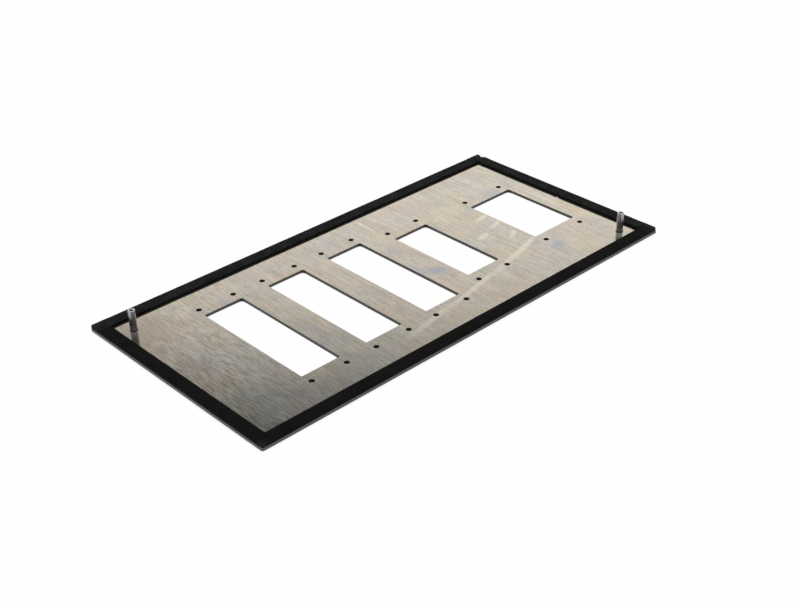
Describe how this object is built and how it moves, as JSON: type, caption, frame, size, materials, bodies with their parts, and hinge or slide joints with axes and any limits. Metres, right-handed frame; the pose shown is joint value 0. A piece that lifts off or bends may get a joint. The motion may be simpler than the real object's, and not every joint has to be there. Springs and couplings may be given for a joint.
{
  "type": "connector panel",
  "caption": "Sheet-metal panel with rectangular connector cut-outs and their screw holes, a foam gasket round its edge and hex standoffs in opposite corners.",
  "frame": {"origin": "middle of the plate's outer face, at the bottom of the part's box", "axes": "+X along the plate towards the wide cut-out, +Y across it, +Z out of the inner face, where the gasket and standoffs are"},
  "size_m": [0.4104, 0.2014, 0.0193],
  "materials": {
    "sheet_metal": "mill finish with a fine rolling grain, half glossy",
    "gasket_foam": "matt closed-cell foam",
    "standoff_steel": "bright nickel plating on turned hexagon bar",
    "screw_steel": "zinc plated"
  },
  "bodies": {
    "root": {"panel_plate": "sheet_metal", "gasket_far": "gasket_foam", "gasket_near": "gasket_foam", "gasket_left": "gasket_foam", "gasket_right": "gasket_foam", "standoff_left": "standoff_steel", "standoff_right": "standoff_steel", "standoff_screw_left": "screw_steel", "standoff_screw_right": "screw_steel"}
  },
  "joints": []
}
